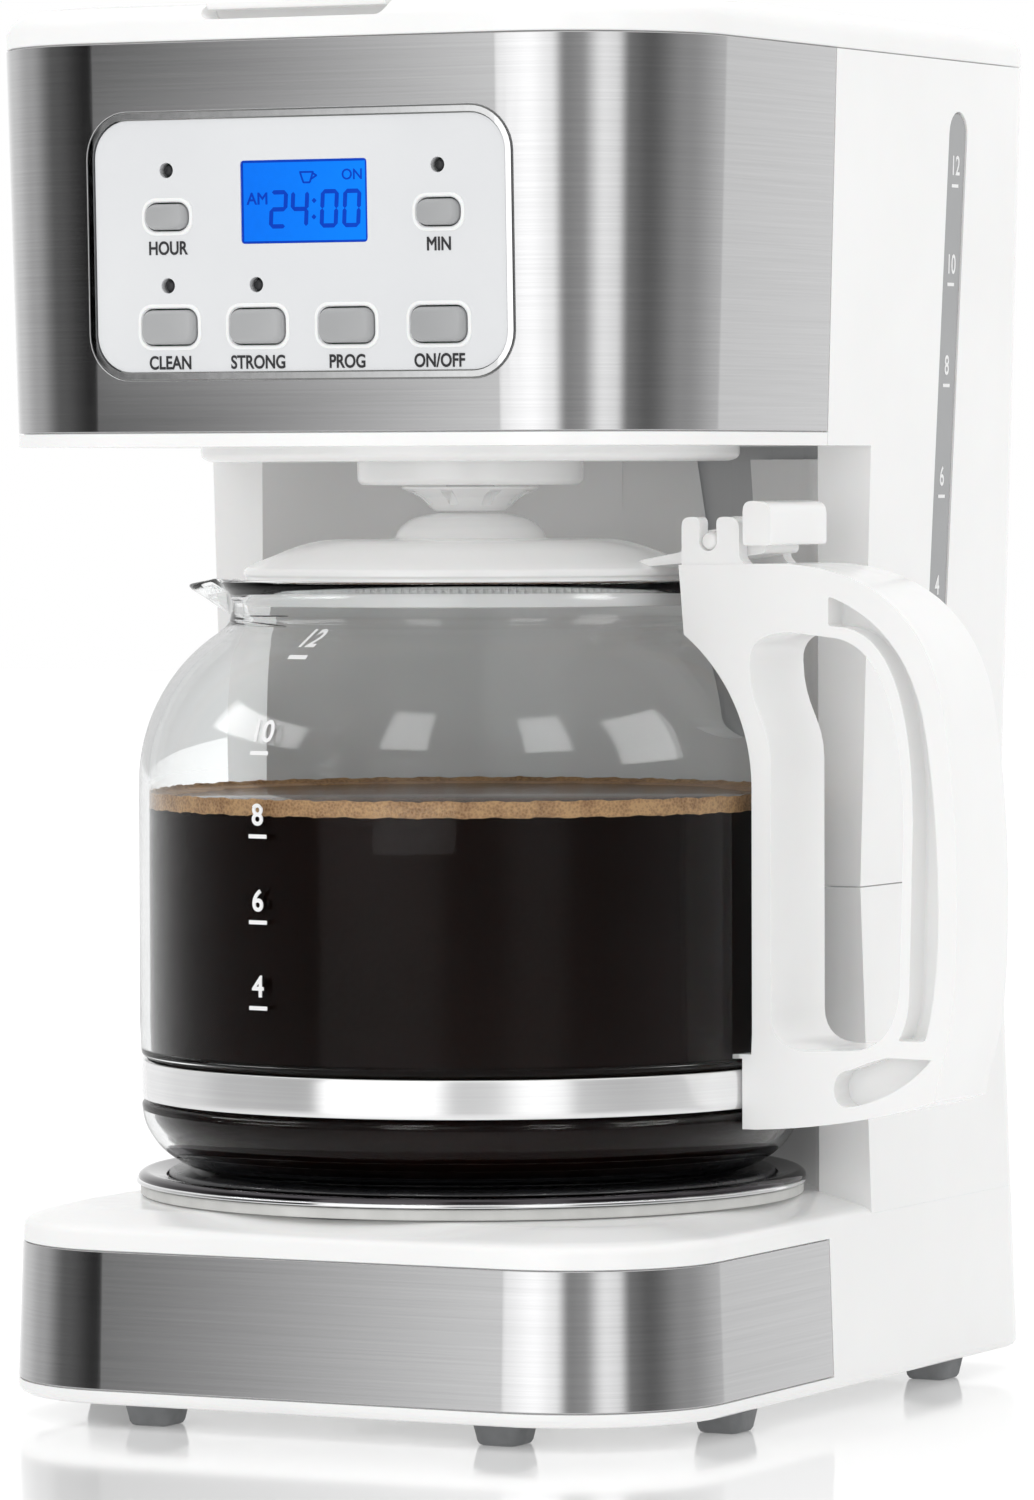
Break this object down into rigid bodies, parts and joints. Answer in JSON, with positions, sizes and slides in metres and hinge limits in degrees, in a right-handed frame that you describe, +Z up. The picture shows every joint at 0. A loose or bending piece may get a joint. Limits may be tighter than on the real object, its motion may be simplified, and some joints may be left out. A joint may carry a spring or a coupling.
{
  "type": "drip coffee maker",
  "caption": "Drip coffee maker with a glass carafe on a warming plate, steel-faced head with control panel, hinged lid, lift-out filter basket and side water window.",
  "frame": {"origin": "middle of the bounding box at the surface the machine stands on", "axes": "+Z up, the front with the controls faces -Y, the carafe handle points to +X"},
  "size_m": [0.2186, 0.2124, 0.3192],
  "materials": {
    "white_plastic": "gloss white moulded plastic",
    "brushed_steel": "horizontally brushed stainless steel sheet",
    "chrome": "polished chrome",
    "plate_metal": "satin metal",
    "glass": "clear borosilicate glass",
    "smoke_window": "grey translucent window",
    "tank_plastic": "natural moulded plastic",
    "panel_plastic": "light grey satin plastic",
    "button_silver": "silver grey plastic",
    "display": "blue backlit display",
    "black_plastic": "black plastic",
    "circuit_board": "green circuit board",
    "silicone": "translucent silicone",
    "rubber": "grey rubber"
  },
  "bodies": {
    "housing": {"lower_housing": "white_plastic", "upper_housing": "white_plastic", "head_shell": "white_plastic", "top_cap": "white_plastic", "bottom_cover": "white_plastic", "base_wrap": "brushed_steel", "head_wrap": "brushed_steel", "tank_window": "smoke_window", "cord_gland": "rubber", "foot_1": "rubber", "foot_2": "rubber", "foot_3": "rubber", "foot_4": "rubber", "foot_5": "rubber", "foot_6": "rubber", "warming_plate": "plate_metal", "plate_seal": "silicone", "trim_ring": "chrome", "heating_element": "plate_metal", "thermostat": "black_plastic", "thermal_fuse": "black_plastic", "power_board": "circuit_board", "water_tank": "tank_plastic", "tank_screen": "silicone", "check_valve": "silicone", "inlet_hose": "silicone", "riser_hose": "silicone", "panel_bezel": "chrome", "control_panel": "panel_plastic", "lcd_lens": "display", "lcd_module": "black_plastic", "control_board": "circuit_board", "hour_lamp": "black_plastic", "minute_lamp": "black_plastic", "clean_lamp": "black_plastic", "strong_lamp": "black_plastic", "hinge_pin_left": "plate_metal", "hinge_pin_right": "plate_metal"},
    "lid": {"lid": "white_plastic", "spray_head": "white_plastic"},
    "basket": {"filter_basket": "white_plastic", "permanent_filter": "plate_metal", "valve_spring": "plate_metal"},
    "drip_valve": {"drip_valve": "white_plastic", "valve_seal": "silicone"},
    "carafe": {"carafe_glass": "glass", "carafe_band": "brushed_steel", "carafe_handle": "white_plastic", "carafe_lid": "white_plastic", "carafe_lid_pin": "white_plastic", "band_screw": "plate_metal"},
    "hour_button": {"hour_button": "button_silver"},
    "minute_button": {"minute_button": "button_silver"},
    "clean_button": {"clean_button": "button_silver"},
    "strong_button": {"strong_button": "button_silver"},
    "program_button": {"program_button": "button_silver"},
    "power_button": {"power_button": "button_silver"}
  },
  "joints": [
    {"name": "lid_hinge", "type": "hinge", "parent": "housing", "child": "lid", "pos_m": [-0.02072, 0.084, 0.3152], "axis": [-1, 0, 0], "range_deg": [0, 88]},
    {"name": "basket_lift", "type": "slide", "parent": "housing", "child": "basket", "axis": [0, 0, 1], "range_m": [0, 0.085]},
    {"name": "carafe_slide", "type": "slide", "parent": "housing", "child": "carafe", "axis": [0, -1, 0], "range_m": [0, 0.17]},
    {"name": "valve_drop", "type": "slide", "parent": "basket", "child": "drip_valve", "axis": [0, 0, -1], "range_m": [0, 0.003], "deforming": ["valve_spring"]},
    {"name": "hour_button_press", "type": "slide", "parent": "housing", "child": "hour_button", "axis": [0, 1, 0], "range_m": [0, 0.0008], "stiffness_N_per_m": 400},
    {"name": "minute_button_press", "type": "slide", "parent": "housing", "child": "minute_button", "axis": [0, 1, 0], "range_m": [0, 0.0008], "stiffness_N_per_m": 400},
    {"name": "clean_button_press", "type": "slide", "parent": "housing", "child": "clean_button", "axis": [0, 1, 0], "range_m": [0, 0.0008], "stiffness_N_per_m": 400},
    {"name": "strong_button_press", "type": "slide", "parent": "housing", "child": "strong_button", "axis": [0, 1, 0], "range_m": [0, 0.0008], "stiffness_N_per_m": 400},
    {"name": "program_button_press", "type": "slide", "parent": "housing", "child": "program_button", "axis": [0, 1, 0], "range_m": [0, 0.0008], "stiffness_N_per_m": 400},
    {"name": "power_button_press", "type": "slide", "parent": "housing", "child": "power_button", "axis": [0, 1, 0], "range_m": [0, 0.0008], "stiffness_N_per_m": 400}
  ],
  "couplings": [
    {"joint": "basket_lift", "follows": "lid_hinge", "m_per_rad": 0.05533},
    {"joint": "valve_drop", "follows": "carafe_slide", "ratio": 0.01764}
  ]
}
